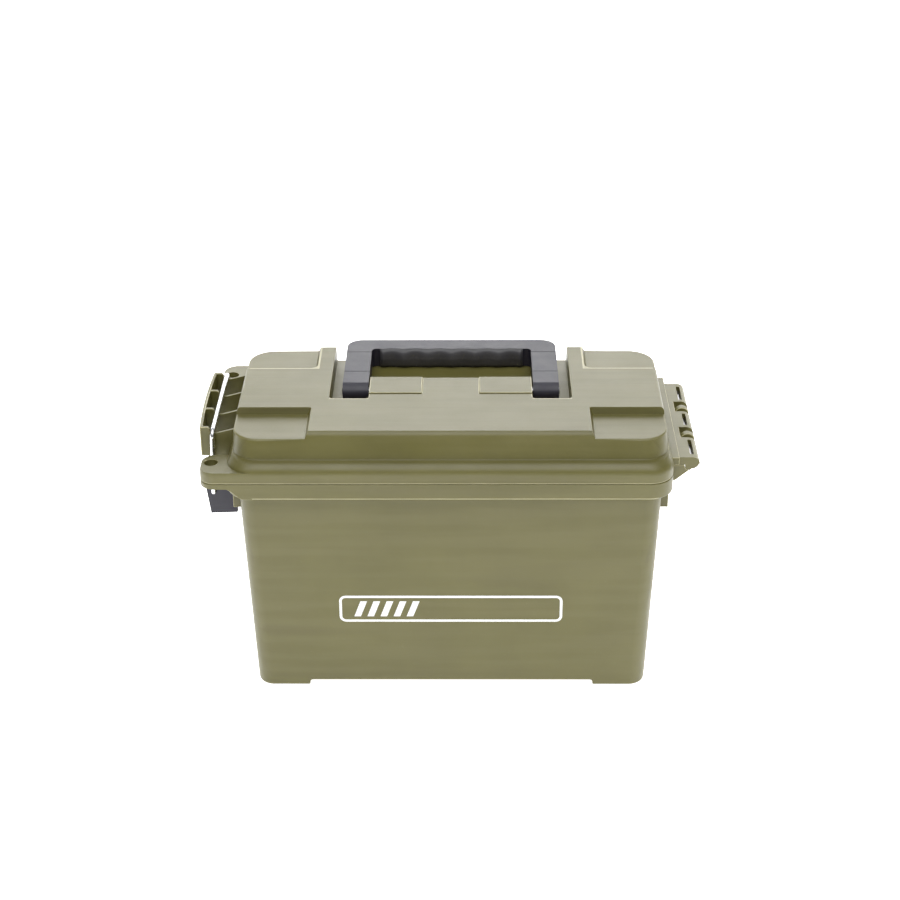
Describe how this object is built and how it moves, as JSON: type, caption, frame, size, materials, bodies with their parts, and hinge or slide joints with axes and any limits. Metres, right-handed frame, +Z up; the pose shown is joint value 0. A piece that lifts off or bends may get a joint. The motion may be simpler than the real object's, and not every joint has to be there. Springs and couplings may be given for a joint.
{
  "type": "hinged field box",
  "caption": "Tapered moulded storage box with a hinged lid, a fold-flat carry handle, a wire-bail latch and padlock ears.",
  "frame": {"origin": "on the floor, in the middle of the box's footprint", "axes": "+X along the box from the latch end to the hinge end, +Y from the front to the back, +Z up"},
  "size_m": [0.2986, 0.1456, 0.1778],
  "materials": {
    "olive_shell": "fine-grained moulded polypropylene, olive",
    "grey_plastic": "satin moulded plastic, dark grey",
    "grip_black": "soft black moulding with a slight sheen",
    "seal_rubber": "smooth black rubber cord",
    "wire_steel": "bright drawn wire",
    "pin_steel": "plain turned pin"
  },
  "bodies": {
    "base": {"base_shell": "olive_shell", "hinge_pin": "pin_steel", "lever_pin": "pin_steel"},
    "lid": {"lid_shell": "olive_shell", "lid_gasket": "seal_rubber", "handle_pin_left": "pin_steel", "handle_pin_right": "pin_steel", "pin_cap_left": "olive_shell", "pin_cap_right": "olive_shell"},
    "handle": {"carry_handle": "grey_plastic", "handle_grip": "grip_black"},
    "bail": {"latch_bail": "wire_steel"},
    "lever": {"latch_lever": "grey_plastic"}
  },
  "joints": [
    {"name": "lid_open", "type": "hinge", "parent": "base", "child": "lid", "pos_m": [0.1435, 0, 0.1504], "axis": [0, 1, 0], "range_deg": [0, 110]},
    {"name": "handle_lift", "type": "hinge", "parent": "lid", "child": "handle", "pos_m": [0, 0.0055, 0.1715], "axis": [1, 0, 0], "range_deg": [0, 95]},
    {"name": "bail_swing", "type": "hinge", "parent": "lid", "child": "bail", "pos_m": [-0.1414, 0, 0.167], "axis": [0, 1, 0], "range_deg": [0, 90]},
    {"name": "lever_open", "type": "hinge", "parent": "base", "child": "lever", "pos_m": [-0.14375, 0, 0.133], "axis": [0, 1, 0], "range_deg": [0, 130]}
  ]
}
